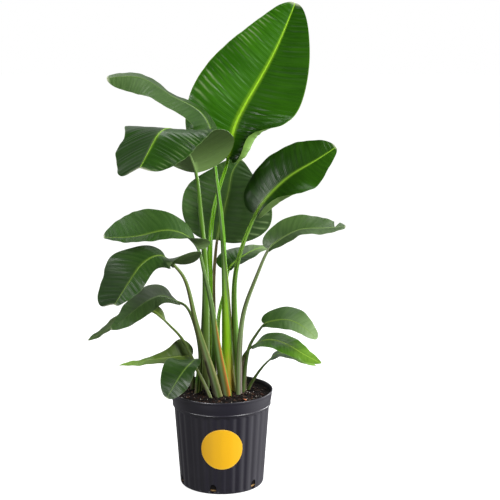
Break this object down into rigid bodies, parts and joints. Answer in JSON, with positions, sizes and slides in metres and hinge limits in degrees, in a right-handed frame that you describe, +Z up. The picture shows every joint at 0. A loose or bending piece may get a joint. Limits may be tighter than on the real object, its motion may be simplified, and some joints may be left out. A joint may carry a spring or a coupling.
{
  "type": "potted bird of paradise plant",
  "caption": "Tall house plant with broad paddle leaves on long stalks, rooted in soil in a fluted round nursery pot with a bare round label.",
  "frame": {"origin": "centre of the pot's flat base, on the surface that it stands on", "axes": "+Z up; -Y towards the label and the side that the plant is looked at from; +X to the right of that view"},
  "size_m": [0.6243, 0.3638, 1.1967],
  "materials": {
    "pot_plastic": "satin",
    "soil": "matte",
    "label_paper": "satin",
    "leaf_green": "satin"
  },
  "bodies": {
    "root": {"pot": "pot_plastic", "soil": "soil", "label": "label_paper", "leaf_top": "leaf_green", "leaf_high_left": "leaf_green", "leaf_upper_left": "leaf_green", "leaf_back": "leaf_green", "leaf_upper_right": "leaf_green", "leaf_back_small": "leaf_green", "leaf_mid_right": "leaf_green", "leaf_mid_left": "leaf_green", "leaf_waist_left": "leaf_green", "leaf_low_left": "leaf_green", "leaf_narrow_left": "leaf_green", "leaf_base_left": "leaf_green", "leaf_front_left": "leaf_green", "leaf_low_right": "leaf_green", "leaf_base_right": "leaf_green", "leaf_small_right": "leaf_green"}
  },
  "joints": []
}
